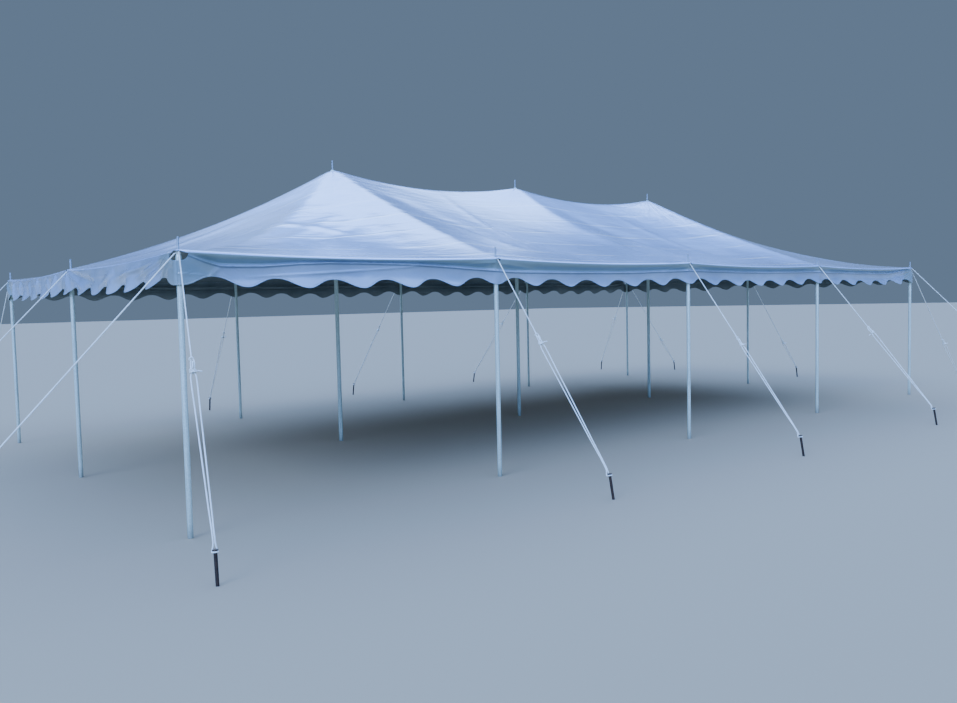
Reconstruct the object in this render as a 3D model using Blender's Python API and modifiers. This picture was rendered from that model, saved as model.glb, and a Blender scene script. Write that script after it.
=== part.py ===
"""A rope-and-pole marquee tent, 6.1 m by 12.2 m, open on all sides.

One skin is stretched over three centre poles and held out by twelve side poles, each tied down by guy
ropes to steel stakes. A scalloped valance hangs from the eaves. Metres, +Z up. The origin is on the
ground under the middle centre pole, X runs along the ridge and the front faces -Y.
"""

import math

import bmesh
import bpy
import numpy as np
from mathutils import Matrix, Vector
from mathutils.bvhtree import BVHTree

# Layout of the poles
BAY_LENGTH = 3.048
BAYS_LONG = 4
BAYS_WIDE = 2

# Heights of the skin's top side, and how far its sewn edges hang below a straight line
EAVE_HEIGHT = 2.134
PEAK_HEIGHT = 3.400
RIDGE_SAG = 0.140
CREASE_SAG = 0.055
MIDDLE_CREASE_SAG = 0.180
HIP_SAG = 0.265
END_CREASE_SAG = 0.115
EAVE_SAG = 0.030
PANEL_SAG = 0.040

# Skin
SKIN = 0.006
EDGE = 0.040
EDGE_DROP = 0.015
CELLS = 8
FILM_ROUNDS = 1500

# Valance
VALANCE = 0.005
VALANCE_LOW = 0.240
VALANCE_HIGH = 0.170
SCALLOPS_PER_BAY = 6
POINTS_PER_SCALLOP = 6
SLOT_WIDTH = 0.050
SLOT_DEPTH = 0.034
CORNER_SLOT = 0.066

# Poles
SIDE_POLE = 0.021
CENTRE_POLE = 0.025
CAP = 0.012
CAP_LENGTH = 0.025
PIN = 0.008
PIN_ABOVE = 0.090
PEAK_PIN_ABOVE = 0.100
EYELET = 0.010
POLE_SIDES = 12

# Guy ropes, seen along their length from the pin
ROPE = 0.005
EYE_STEP = math.radians(30)
EYE_OPEN = math.radians(20)
EYE_LEAVES = math.radians(-60)
LIP_START = 0.020
LIP_REACH = 0.031
LIP_SLOPE = 0.50
HITCH_AT = 0.42
END_HITCH_AT = 0.70
HITCHES_SEEN = {"front_1_side": 0.405, "front_2": 0.385, "front_3": 0.470, "front_4": 0.460,
                "front_5_side": 0.500, "front_5_end": 0.660}
HITCH_LENGTH = 0.100
HITCH_SPREAD = 0.050
HITCH_TURNS = 1.5
HITCH_STEP = math.radians(60)
LOOP_LENGTH = 0.060
LOOP_NECK = 0.013

# Stakes, measured out from the pole line and along it; a corner's ropes splay, wider at the right end
SIDE_GUY_OUT = (1.400, 1.540, 1.660)
SIDE_GUY_ASIDE = (0.060, -0.120, -0.085)
END_GUY_OUT = 1.850
CORNER_GUY_OUT = (1.170, 1.600)
CORNER_SPLAY = (0.268, 0.900)
CORNER_END_SPLAY = 0.100
STAKE = 0.0120
STAKE_HEAD = 0.020
STAKE_HEAD_HEIGHT = 0.014
STAKE_HEIGHT = 0.225
STAKE_LEAN = math.radians(10)
STAKE_SIDES = 10

# Touching pieces keep this gap
FIT = 0.0003

HALF_LONG = BAY_LENGTH * BAYS_LONG / 2
HALF_WIDE = BAY_LENGTH * BAYS_WIDE / 2


def clear_scene():
    for obj in list(bpy.data.objects):
        bpy.data.objects.remove(obj, do_unlink=True)


def new_collection(name):
    collection = bpy.data.collections.new(name)
    bpy.context.scene.collection.children.link(collection)
    return collection


def new_material(name, colour, roughness, metallic=0.0):
    material = bpy.data.materials.new(name)
    material.use_nodes = True
    shader = material.node_tree.nodes["Principled BSDF"]
    shader.inputs["Base Color"].default_value = (*colour, 1.0)
    shader.inputs["Roughness"].default_value = roughness
    shader.inputs["Metallic"].default_value = metallic
    return material


def mesh_object(name, bm, collection, material=None):
    mesh = bpy.data.meshes.new(name)
    bm.to_mesh(mesh)
    bm.free()
    obj = bpy.data.objects.new(name, mesh)
    collection.objects.link(obj)
    if material:
        mesh.materials.append(material)
    return obj


def hang(span, sag):
    """How far a line that is held at both ends hangs, at a share of its span from 0 to 1."""
    return sag * 4 * span * (1 - span)


def bay_share(distance):
    """Where a place along an edge lies in its bay, from 0 to 1."""
    return (distance / BAY_LENGTH) % 1.0


# Skin

def crease_height(down, sag):
    """Height of a crease that runs from a peak to the eave, at a share of its way down."""
    return PEAK_HEIGHT + (EAVE_HEIGHT - PEAK_HEIGHT) * down - hang(down, sag)


def sewn_height(x, y):
    """The skin's height on its sewn lines and eaves, or None inside a panel."""
    near = BAY_LENGTH / CELLS / 4
    end_peak = HALF_LONG - BAY_LENGTH
    if abs(abs(x) - HALF_LONG) < near:
        return EAVE_HEIGHT - hang(bay_share(y + HALF_WIDE), EAVE_SAG)
    if abs(abs(y) - HALF_WIDE) < near:
        return EAVE_HEIGHT - hang(bay_share(x + HALF_LONG), EAVE_SAG)
    out = abs(x) - end_peak
    if abs(y) < near and out <= near:
        return PEAK_HEIGHT - hang(bay_share(x + HALF_LONG), RIDGE_SAG)
    if abs(y) < near:
        return crease_height(out / BAY_LENGTH, END_CREASE_SAG)
    if abs(out - abs(y)) < near:
        return crease_height(out / BAY_LENGTH, HIP_SAG)
    share = bay_share(x + HALF_LONG)
    if out <= near and min(share, 1 - share) * BAY_LENGTH < near:
        sag = MIDDLE_CREASE_SAG if abs(x) < near else CREASE_SAG
        return crease_height(abs(y) / HALF_WIDE, sag)
    return None


def film_heights():
    """Heights on a grid of CELLS to a bay: each panel is a film stretched between its sewn lines."""
    across = BAYS_LONG * CELLS + 1
    deep = BAYS_WIDE * CELLS + 1
    height = np.full((across, deep), (EAVE_HEIGHT + PEAK_HEIGHT) / 2)
    free = np.ones((across, deep), bool)
    for i in range(across):
        for j in range(deep):
            sewn = sewn_height(i * BAY_LENGTH / CELLS - HALF_LONG, j * BAY_LENGTH / CELLS - HALF_WIDE)
            if sewn is not None:
                height[i, j] = sewn
                free[i, j] = False
    weight = 8 * PANEL_SAG / CELLS**2
    inner = free[1:-1, 1:-1]
    for _ in range(FILM_ROUNDS):
        mean = (height[2:, 1:-1] + height[:-2, 1:-1] + height[1:-1, 2:] + height[1:-1, :-2]) / 4
        height[1:-1, 1:-1][inner] = mean[inner] - weight
    return height


def grid_place(index, cells, half):
    """Where a line of the skin's grid lies: the outermost lines are the skin's edges."""
    if index == 0:
        return -half - EDGE
    if index == cells + 2:
        return half + EDGE
    return (index - 1) * BAY_LENGTH / CELLS - half


def skin_mesh():
    """The skin's top side: a grid with one cell of edge past the pole line, split along the hips."""
    along, wide = BAYS_LONG * CELLS, BAYS_WIDE * CELLS
    heights = film_heights()
    bm = bmesh.new()
    bmesh.ops.create_grid(bm, x_segments=along + 2, y_segments=wide + 2, size=1.0)
    for vert in bm.verts:
        i = round((vert.co.x + 1) / 2 * (along + 2))
        j = round((vert.co.y + 1) / 2 * (wide + 2))
        inner = min(max(i - 1, 0), along), min(max(j - 1, 0), wide)
        edge = i in (0, along + 2) or j in (0, wide + 2)
        vert.co.x = grid_place(i, along, HALF_LONG)
        vert.co.y = grid_place(j, wide, HALF_WIDE)
        vert.co.z = heights[inner] - (EDGE_DROP if edge else 0.0)
    for face in list(bm.faces):
        middle = face.calc_center_median()
        rising = middle.x * middle.y > 0
        corners = sorted(face.verts, key=lambda vert: vert.co.x + vert.co.y * (1 if rising else -1))
        bmesh.utils.face_split(face, corners[0], corners[-1])
    return bm


def eyelet_cutter(places, collection):
    """Upright cylinders through the skin, one where each pole's pin comes through."""
    bm = bmesh.new()
    for x, y in places:
        bmesh.ops.create_cone(
            bm,
            cap_ends=True,
            segments=POLE_SIDES,
            radius1=EYELET,
            radius2=EYELET,
            depth=PEAK_HEIGHT,
            matrix=Matrix.Translation((x, y, PEAK_HEIGHT)),
        )
    cutter = mesh_object("eyelet_cutter", bm, collection)
    cutter.hide_render = True
    cutter.display_type = "WIRE"
    return cutter


def build_skin(places, parts, cutters, material):
    skin = mesh_object("roof_skin", skin_mesh(), parts, material)
    shell = skin.modifiers.new("thickness", "SOLIDIFY")
    shell.thickness = SKIN
    shell.offset = -1.0
    holes = skin.modifiers.new("eyelets", "BOOLEAN")
    holes.operation = "DIFFERENCE"
    holes.object = eyelet_cutter(places, cutters)
    return skin


def skin_finder(skin):
    """A function that gives the skin's lowest underside and highest top side within a radius of a place."""
    bpy.context.view_layer.update()
    tree = BVHTree.FromObject(skin, bpy.context.evaluated_depsgraph_get())
    eyelet_rim = EYELET + FIT

    def find(x, y, radius):
        under, over = [], []
        for reach in (eyelet_rim, (eyelet_rim + radius) / 2, radius):
            for turn in range(2 * POLE_SIDES):
                angle = math.pi * turn / POLE_SIDES
                spot = Vector((x + reach * math.cos(angle), y + reach * math.sin(angle), 0.0))
                under.append(tree.ray_cast(spot, Vector((0, 0, 1)))[0].z)
                spot.z = 2 * PEAK_HEIGHT
                over.append(tree.ray_cast(spot, Vector((0, 0, -1)))[0].z)
        return min(under), max(over)

    return find


# Valance

def slot_points(centre):
    """The rope slot's outline, a half ellipse hanging from the top edge, walked left to right."""
    steps = 4
    points = []
    for step in range(steps + 1):
        angle = math.pi * step / steps
        points.append((centre - math.cos(angle) * SLOT_WIDTH / 2, -SLOT_DEPTH * math.sin(angle)))
    return points


def valance_outline(half, sag_line):
    """The flat outline of one side's valance as (along, up) from its pole line's middle and the eave."""
    end = half + EDGE - VALANCE - FIT if half == HALF_WIDE else half + EDGE
    bays = round(2 * half / BAY_LENGTH)
    top_of = -EDGE_DROP - SKIN * math.hypot(1, EDGE_DROP / EDGE) - FIT
    knots = [grid_place(index, bays * CELLS, half) for index in range(1, bays * CELLS + 2)]

    def top(place):
        return top_of + float(np.interp(place, knots, [sag_line(knot) for knot in knots]))

    corner = half + EDGE - CORNER_SLOT
    upper = [(-end, top(-half) - SLOT_DEPTH), (-corner, top(-corner) - SLOT_DEPTH), (-corner, top(-corner))]
    for knot in knots[1:-1]:
        at_pole = abs(round((knot + half) / BAY_LENGTH) * BAY_LENGTH - half - knot) < EYELET
        if at_pole:
            upper += [(along, top(knot) + up) for along, up in slot_points(knot)]
        else:
            upper.append((knot, top(knot)))
    upper += [(corner, top(corner)), (corner, top(corner) - SLOT_DEPTH), (end, top(half) - SLOT_DEPTH)]

    pitch = BAY_LENGTH / SCALLOPS_PER_BAY
    count = bays * SCALLOPS_PER_BAY * POINTS_PER_SCALLOP
    places = [end] + [half - pitch * step / POINTS_PER_SCALLOP for step in range(count + 1)] + [-end]
    middle, swing = (VALANCE_LOW + VALANCE_HIGH) / 2, (VALANCE_LOW - VALANCE_HIGH) / 2
    lower = []
    for place in places:
        depth = middle + swing * math.cos(2 * math.pi * (place + half) / pitch)
        lower.append((place, top(min(max(place, -half), half)) - depth))
    return upper + lower


def build_valance(name, half, offset, turned, parts, material):
    """A flat strip, its outer face in line with the skin's edge; turned puts it on the end at +X."""
    curve = bpy.data.curves.new(name, "CURVE")
    curve.dimensions = "2D"
    curve.fill_mode = "BOTH"
    curve.extrude = VALANCE / 2
    curve.materials.append(material)
    outline = valance_outline(half, lambda place: -hang(bay_share(place + half), EAVE_SAG))
    spline = curve.splines.new("POLY")
    spline.points.add(len(outline) - 1)
    for point, (along, up) in zip(spline.points, outline):
        point.co = (along, up, 0.0, 1.0)
    spline.use_cyclic_u = True
    obj = bpy.data.objects.new(name, curve)
    obj.rotation_euler = (math.pi / 2, 0.0, turned)
    place = Vector((0.0, -(offset + EDGE - VALANCE / 2), EAVE_HEIGHT))
    obj.location = Matrix.Rotation(turned, 3, "Z") @ place
    parts.objects.link(obj)
    return obj


# Poles

def turned_object(name, profile, sides, place, parts, material):
    """A solid of revolution from (radius, height) pairs that run from its top to its foot."""
    bm = bmesh.new()
    verts = [bm.verts.new((radius, 0.0, height)) for radius, height in profile]
    for first, second in zip(verts, verts[1:]):
        bm.edges.new((first, second))
    obj = mesh_object(name, bm, parts, material)
    screw = obj.modifiers.new("turn", "SCREW")
    screw.steps = screw.render_steps = sides
    screw.use_merge_vertices = True
    screw.merge_threshold = 0.0001
    screw.use_smooth_shade = True
    obj.location = place
    return obj


def build_pole(name, place, radius, shoulder, pin_top, parts, material):
    pin_edge = PIN / 4
    profile = [
        (0.0, pin_top),
        (PIN - pin_edge, pin_top),
        (PIN, pin_top - pin_edge),
        (PIN, shoulder),
        (CAP, shoulder),
        (radius, shoulder - CAP_LENGTH),
        (radius, 0.0),
        (0.0, 0.0),
    ]
    return turned_object(name, profile, POLE_SIDES, (*place, 0.0), parts, material)


# Guy ropes and stakes

def hugging(radius, step):
    """The radius of a many-sided turn of rope whose flats just clear a round of the given radius."""
    return (radius + FIT + ROPE) / math.cos(step / 2)


def stake_frame(foot, pole):
    """Unit vectors of a stake: towards its pole, sideways, and up its leaning shank."""
    towards = Vector((pole[0] - foot[0], pole[1] - foot[1], 0.0)).normalized()
    side = Vector((0, 0, 1)).cross(towards)
    up = Vector((0, 0, math.cos(STAKE_LEAN))) + towards * math.sin(STAKE_LEAN)
    return side.cross(up), side, up


def build_stake(name, foot, pole, parts, material):
    """A steel pin with a flat head, leaning to its rope and cut off level with the ground."""
    towards, side, up = stake_frame(foot, pole)
    buried = STAKE_HEIGHT / 5
    head = STAKE_HEIGHT - STAKE_HEAD_HEIGHT
    bm = bmesh.new()
    profile = [
        (0.0, STAKE_HEIGHT),
        (STAKE_HEAD, STAKE_HEIGHT),
        (STAKE_HEAD, head),
        (STAKE, head),
        (STAKE, -buried),
        (0.0, -buried),
    ]
    verts = [bm.verts.new((radius, 0.0, height)) for radius, height in profile]
    edges = [bm.edges.new(pair) for pair in zip(verts, verts[1:])]
    bmesh.ops.spin(
        bm,
        geom=verts + edges,
        cent=(0, 0, 0),
        axis=(0, 0, 1),
        angle=2 * math.pi,
        steps=STAKE_SIDES,
        use_merge=True,
    )
    bmesh.ops.remove_doubles(bm, verts=bm.verts, dist=0.0001)
    turn = Matrix((towards, side, up)).transposed().to_4x4()
    bmesh.ops.transform(bm, matrix=Matrix.Translation((*foot, 0.0)) @ turn, verts=bm.verts)
    whole = bm.verts[:] + bm.edges[:] + bm.faces[:]
    cut = bmesh.ops.bisect_plane(bm, geom=whole, plane_co=(0, 0, 0), plane_no=(0, 0, -1), clear_outer=True)
    rim = [edge for edge in cut["geom_cut"] if isinstance(edge, bmesh.types.BMEdge)]
    bmesh.ops.holes_fill(bm, edges=rim, sides=0)
    bmesh.ops.recalc_face_normals(bm, faces=bm.faces)
    return mesh_object(name, bm, parts, material)


def eye_path(pin_place, height, heading):
    """The eye over the pin, walked round the back of the pin to where the rope leaves it."""
    radius = hugging(PIN, EYE_STEP)
    sweep = 2 * math.pi + EYE_LEAVES - EYE_OPEN
    steps = round(sweep / EYE_STEP)
    points = []
    for step in range(steps + 1):
        angle = heading + EYE_OPEN + sweep * step / steps
        around = Vector((math.cos(angle), math.sin(angle), 0.0))
        points.append(Vector((*pin_place, height)) + radius * around)
    return points


def stake_turn(foot, pole, lip):
    """The rope's loop round the stake, drawn in to a neck in front of it and clear of the head above."""
    towards, side, up = stake_frame(foot, pole)
    steps = 4
    radius = hugging(STAKE, math.pi / steps)
    centre = Vector((*foot, 0.0)) + up * (STAKE_HEIGHT - STAKE_HEAD_HEIGHT - FIT - ROPE)
    points = []
    for step in range(steps + 1):
        angle = -math.pi / 2 - math.pi * step / steps
        points.append(centre + radius * (towards * math.cos(angle) + side * math.sin(angle)))
    clear = towards * STAKE_HEAD
    neck = centre + (lip - centre).normalized() * LOOP_LENGTH
    aside = side * (LOOP_NECK / 2)
    return [neck - aside, points[0] + clear] + points + [points[-1] + clear, neck + aside]


def hitch_path(start, end, spread_from):
    """The end of the rope, wound up round its own standing part between two places on it."""
    line = (end - start).normalized()
    out = spread_from - line * spread_from.dot(line)
    out.normalize()
    across = line.cross(out)
    radius = hugging(ROPE, HITCH_STEP)
    count = round(HITCH_TURNS * 2 * math.pi / HITCH_STEP)
    points = []
    for step in range(count + 1):
        angle = HITCH_STEP * step
        centre = start.lerp(end, step / count)
        points.append(centre + radius * (out * math.cos(angle) + across * math.sin(angle)))
    return points


def rope_path(pole, foot, height, hitch_at):
    """The whole rope: eye, standing part, half turn round the stake, and back up to the hitch."""
    reach = Vector((foot[0] - pole[0], foot[1] - pole[1], 0.0)).normalized()
    heading = math.atan2(reach.y, reach.x)
    eye = eye_path(pole, height, heading)
    start = Vector((*pole, height)) + reach * LIP_START
    lip = Vector((*pole, height)) + reach * LIP_REACH
    lip.z -= (LIP_REACH - LIP_START) * LIP_SLOPE
    turn = stake_turn(foot, pole, lip)
    standing_end = turn[0]
    upper = lip.lerp(standing_end, hitch_at)
    share = HITCH_LENGTH / (standing_end - lip).length
    lower = lip.lerp(standing_end, hitch_at + share)
    coil = hitch_path(lower, upper, turn[-1] - turn[0])
    sideways = (coil[0] - lower).normalized()
    below = lip.lerp(standing_end, hitch_at + 1.5 * share) + sideways * HITCH_SPREAD
    return eye + [start, lip] + turn + [below] + coil


def build_rope(name, pole, foot, height, hitch_at, parts, material):
    curve = bpy.data.curves.new(name, "CURVE")
    curve.dimensions = "3D"
    curve.bevel_depth = ROPE
    curve.bevel_resolution = 1
    curve.use_fill_caps = True
    curve.materials.append(material)
    path = rope_path(pole, foot, height, hitch_at)
    spline = curve.splines.new("POLY")
    spline.points.add(len(path) - 1)
    for point, place in zip(spline.points, path):
        point.co = (*place, 1.0)
    obj = bpy.data.objects.new(name, curve)
    parts.objects.link(obj)
    return obj


# Where everything stands

def guy_feet(x, y):
    """Where the guy ropes of the side pole at x, y meet the ground, each with the way that it runs."""
    x_way, y_way = math.copysign(1, x), math.copysign(1, y)
    if abs(x) < HALF_LONG:
        inner_pole = round(x / BAY_LENGTH) + 1
        return {"side": (x + SIDE_GUY_ASIDE[inner_pole], y + y_way * SIDE_GUY_OUT[inner_pole])}
    if abs(y) < HALF_WIDE:
        return {"end": (x + x_way * END_GUY_OUT, y)}
    right = int(x > 0)
    return {
        "side": (x + x_way * CORNER_SPLAY[right], y + y_way * CORNER_GUY_OUT[right]),
        "end": (x + x_way * END_GUY_OUT, y + y_way * CORNER_END_SPLAY),
    }


def side_pole_places():
    """Name and place of each side pole."""
    places = []
    for bay in range(BAYS_LONG + 1):
        x = bay * BAY_LENGTH - HALF_LONG
        places.append((f"front_{bay + 1}", (x, -HALF_WIDE)))
        places.append((f"back_{bay + 1}", (x, HALF_WIDE)))
    for bay in range(1, BAYS_WIDE):
        y = bay * BAY_LENGTH - HALF_WIDE
        places.append((f"left_end_{bay}", (-HALF_LONG, y)))
        places.append((f"right_end_{bay}", (HALF_LONG, y)))
    return places


def centre_pole_places():
    return [(bay * BAY_LENGTH - HALF_LONG, 0.0) for bay in range(1, BAYS_LONG)]


def main():
    clear_scene()
    parts = new_collection("marquee_tent")
    cutters = new_collection("cutters")
    vinyl = new_material("white_vinyl", (0.80, 0.84, 0.90), 0.45)
    tube = new_material("galvanised_tube", (0.55, 0.58, 0.60), 0.40, 0.9)
    cord = new_material("braided_rope", (0.82, 0.84, 0.82), 0.85)
    steel = new_material("rusty_steel", (0.10, 0.06, 0.04), 0.70, 0.6)

    side_poles = side_pole_places()
    centre_poles = centre_pole_places()
    skin = build_skin([place for _, place in side_poles] + centre_poles, parts, cutters, vinyl)
    find_skin = skin_finder(skin)

    build_valance("valance_front", HALF_LONG, HALF_WIDE, 0.0, parts, vinyl)
    build_valance("valance_back", HALF_LONG, HALF_WIDE, math.pi, parts, vinyl)
    build_valance("valance_right", HALF_WIDE, HALF_LONG, math.pi / 2, parts, vinyl)
    build_valance("valance_left", HALF_WIDE, HALF_LONG, -math.pi / 2, parts, vinyl)

    for number, place in enumerate(centre_poles, 1):
        under, over = find_skin(*place, CAP)
        pin_top = over + PEAK_PIN_ABOVE
        build_pole(f"centre_pole_{number}", place, CENTRE_POLE, under - FIT, pin_top, parts, tube)

    for name, place in side_poles:
        under, over = find_skin(*place, LIP_START + FIT)
        eye_height = under - FIT - ROPE
        feet = guy_feet(*place)
        for way, foot in feet.items():
            label = f"{name}_{way}" if len(feet) > 1 else name
            build_stake(f"stake_{label}", foot, place, parts, steel)
            hitch_at = HITCHES_SEEN.get(label, END_HITCH_AT if way == "end" else HITCH_AT)
            build_rope(f"guy_rope_{label}", place, foot, eye_height, hitch_at, parts, cord)
            eye_height -= 2 * ROPE + FIT
        shoulder = eye_height + ROPE
        build_pole(f"side_pole_{name}", place, SIDE_POLE, shoulder, over + PIN_ABOVE, parts, tube)


main()
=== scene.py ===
"""Finish of a rope-and-pole marquee tent: its vinyl skin and valance, tubes, ropes and stakes.

The frame gives the solids in metres, +Z up, with the ridge along X and the front facing -Y.
"""

import math

import bmesh
import bpy
import numpy as np
from mathutils import Matrix, Vector


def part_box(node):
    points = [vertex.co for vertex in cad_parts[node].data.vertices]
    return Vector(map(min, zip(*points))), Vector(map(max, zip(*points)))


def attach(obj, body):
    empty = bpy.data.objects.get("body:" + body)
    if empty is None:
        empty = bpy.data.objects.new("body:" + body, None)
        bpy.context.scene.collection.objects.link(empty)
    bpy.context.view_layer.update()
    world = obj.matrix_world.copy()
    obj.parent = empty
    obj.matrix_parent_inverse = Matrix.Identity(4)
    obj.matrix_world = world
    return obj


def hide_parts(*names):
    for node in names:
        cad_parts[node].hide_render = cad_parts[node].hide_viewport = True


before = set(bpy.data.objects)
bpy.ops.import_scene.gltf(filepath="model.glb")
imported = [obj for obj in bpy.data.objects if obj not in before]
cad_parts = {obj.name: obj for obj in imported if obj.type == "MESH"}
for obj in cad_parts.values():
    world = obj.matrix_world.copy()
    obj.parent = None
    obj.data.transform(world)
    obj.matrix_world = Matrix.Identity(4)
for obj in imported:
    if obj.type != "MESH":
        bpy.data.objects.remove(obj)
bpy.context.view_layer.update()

# Layout and heights, as in the solids
BAY = 3.048
HALF_LONG = 2 * BAY
HALF_WIDE = BAY
EAVE = 2.134
PEAK = 3.400
RIDGE_SAG = 0.140
CREASE_SAG = 0.055
MIDDLE_CREASE_SAG = 0.180
HIP_SAG = 0.265
END_CREASE_SAG = 0.115
EAVE_SAG = 0.030
PANEL_SAG = 0.048

# Skin
COARSEST = 9
CELLS = 72
FILM_ROUNDS = 500
SOFTEN_ROUNDS = 5
SHEET = 0.0014
ROLL_OUT = (0.014, 0.025, 0.033, 0.037, 0.038, 0.034)
ROLL_DROP = (0.0025, 0.007, 0.012, 0.017, 0.022, 0.027)
ROLL_DROP_AT_POLE = 0.012
POLE_REACH = 0.030
UNWRINKLED = 0.25
DISC = 0.085

# Valance, with its heights as depths below the eave
SCALLOP = BAY / 6
SCALLOP_LOW = 0.262
SCALLOP_HIGH = 0.190
SLOT_HALF = 0.027
SLOT_FLOOR = 0.060
CORNER_SLOT_HALF = 0.062
CORNER_SLOT_FLOOR = 0.082
CORNER_REACH = 0.2
CORNER_ROUND = 0.030
VALANCE_TOP = 0.020
VALANCE_OUT = 0.040
VALANCE_STEP = 0.018
VALANCE_ROWS = 38
FOLD_RIDGE = 0.009
FOLD_WIDTH = 0.0055
OFF_TUBE = 0.026
TUCK_IN = 0.02
NEAR_POLE = 0.10
NEAR_TUBE = 0.07
NEAR_CORNER = 0.14
NO_FOLD = 0.05
# Painted shade above a valance's fold fades out over this depth
FOLD_SHADE_FADE = 0.024
CORNER_PIECE = 0.30
CORNER_FADE = 0.06
CORNER_GREY = 0.75
HEM_STITCH = 0.012
# The line of painted shade lies this far below the fold
SHADE_LINE_PAST_FOLD = 0.0105

# Poles, ropes and stakes
SIDE_POLE = 0.021
CENTRE_POLE = 0.025
PIN = 0.008
POLE_STEPS = 32
POLE_EDGE = math.radians(35)
SHOULDER_DROP = 0.018
ROPE = 0.005
EYE_DROP = 0.0194
EYE_OPEN = math.radians(20)
EYE_TURN = math.radians(282)
EYE_POINTS = 16
LIP_START = 0.021
LIP_REACH = 0.031
LIP_DROP = 0.0052
HITCH_AT = 0.42
END_HITCH_AT = 0.70
END_ROPE_FROM = HALF_LONG + 1.0
HITCH_ROLL = math.radians(25)
WRAP_POINTS = 10
LOOP_LENGTH = 0.060
LOOP_NECK = 0.013
TURN_POINTS = 12
SIDE_GUY_OUT = (1.400, 1.540, 1.660)
SIDE_GUY_ASIDE = (0.060, -0.120, -0.085)
END_GUY_OUT = 1.850
CORNER_GUY_OUT = (1.170, 1.600)
CORNER_SPLAY = (0.268, 0.900)
CORNER_END_SPLAY = 0.100
STAKE = 0.0120
STAKE_HEAD = 0.020
STAKE_HEAD_HEIGHT = 0.014
STAKE_HEIGHT = 0.225
STAKE_BURIED = 0.040
STAKE_LEAN = math.radians(10)
STAKE_STEPS = 24
STAKE_EDGE = math.radians(40)
MERGED = 0.00005
FIT = 0.0003

# Scrim threads are drawn at 9 mm instead of 1 mm, so that they show close up
SCRIM_SCALE = 110.0

# Studio and camera
SKY_POWER = 4.3
BACKDROP = "#303B49"
PANEL_COLOUR = "#AED2FF"
PANEL_POWER = 2.15
SUN_COLOUR = "#9ABFFF"
SUN_POWER = 2.5
SUN_WIDTH = math.radians(30)
SUN_WAY = (0.80, 0.30, -0.55)
FLOOR_HALF = 150.0
CAMERA_PLACE = (-8.26, -9.07, 1.69)
CAMERA_TURN = (39.56, -3.33, -1.28)
CAMERA_LENS = 30.96
CAMERA_SENSOR = 36.0
CAMERA_SEES = 500.0


def linear(code):
    """The linear colour of an sRGB hex value."""
    shares = [int(code[i:i + 2], 16) / 255 for i in (1, 3, 5)]
    return [*(s / 12.92 if s <= 0.04045 else ((s + 0.055) / 1.055) ** 2.4 for s in shares), 1.0]


def feed(tree, node, inputs):
    """Sets or links a node's inputs, by name or in order. A node stands for its first live output."""
    for key, value in inputs.items() if isinstance(inputs, dict) else enumerate(inputs):
        if isinstance(value, bpy.types.Node):
            value = next(socket for socket in value.outputs if socket.enabled)
        if isinstance(value, bpy.types.NodeSocket):
            tree.links.new(value, node.inputs[key])
        else:
            node.inputs[key].default_value = value


def add_node(tree, kind, inputs=(), stops=(), **settings):
    """A shader node with its settings, a ramp's stops as positions and colours, and its inputs."""
    node = tree.nodes.new("ShaderNode" + kind)
    for name, value in settings.items():
        setattr(node, name, value)
    for i, (position, code) in enumerate(stops):
        elements = node.color_ramp.elements
        stop = elements[i] if i < 2 else elements.new(position)
        stop.position, stop.color = position, linear(code)
    feed(tree, node, inputs)
    return node


def new_material(name):
    material = bpy.data.materials.new(name)
    material.use_nodes = True
    return material, material.node_tree, material.node_tree.nodes["Principled BSDF"]


def add_object(name, data):
    obj = bpy.data.objects.new(name, data)
    bpy.context.scene.collection.objects.link(obj)
    return obj


def mesh_piece(name, bm):
    mesh = bpy.data.meshes.new(name)
    bm.to_mesh(mesh)
    bm.free()
    return add_object(name, mesh)


def finish_piece(obj, material, node):
    """Gives a piece its material, its body and the solid that it stands for."""
    obj.data.materials.clear()
    obj.data.materials.append(material)
    for polygon in obj.data.polygons:
        polygon.use_smooth = True
    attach(obj, "root")
    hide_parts(node)
    return obj


def finish_cloth(sheet, finishes, node):
    """Thickens a sheet inwards, with the coating on its outer side and the lining on its inner one."""
    shell = sheet.modifiers.new("thickness", "SOLIDIFY")
    shell.thickness = SHEET
    shell.offset = -1.0
    shell.material_offset = 1
    coating, lining = finishes
    finish_piece(sheet, coating, node)
    sheet.data.materials.append(lining)
    return sheet


def mark_hard_edges(bm, angle):
    """Turns the faces outwards, with a hard edge wherever two meet at more than the angle."""
    bmesh.ops.recalc_face_normals(bm, faces=bm.faces)
    bm.normal_update()
    for edge in bm.edges:
        edge.smooth = len(edge.link_faces) != 2 or edge.calc_face_angle(0.0) < angle


# Skin

def hang(span, sag):
    """How far a line that is held at both ends hangs, at a share of its span from 0 to 1."""
    return sag * 4 * span * (1 - span)


def height_down(share, sag):
    """The height of a sewn line at a share of its way from a peak to the eave."""
    return PEAK + (EAVE - PEAK) * share - hang(share, sag)


def off_pole(place):
    """How far a place along an eave lies from the nearest pole."""
    return abs((place / BAY + 0.5) % 1.0 - 0.5) * BAY


def sewn_height(x, y, near):
    """The skin's height on its sewn lines and eaves, or None inside a panel."""
    out = abs(x) - BAY
    share = ((x + HALF_LONG) / BAY) % 1.0
    if abs(abs(x) - HALF_LONG) < near:
        return EAVE - hang(((y + HALF_WIDE) / BAY) % 1.0, EAVE_SAG)
    if abs(abs(y) - HALF_WIDE) < near:
        return EAVE - hang(share, EAVE_SAG)
    if abs(y) < near and out <= near:
        return PEAK - hang(share, RIDGE_SAG)
    if abs(y) < near:
        return height_down(out / BAY, END_CREASE_SAG)
    if abs(out - abs(y)) < near:
        return height_down(out / BAY, HIP_SAG)
    if out <= near and min(share, 1 - share) * BAY < near:
        return height_down(abs(y) / HALF_WIDE, MIDDLE_CREASE_SAG if abs(x) < near else CREASE_SAG)
    return None


def neighbour_mean(height):
    """The mean height of each inner point's four neighbours."""
    return (height[2:, 1:-1] + height[:-2, 1:-1] + height[1:-1, 2:] + height[1:-1, :-2]) / 4


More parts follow.
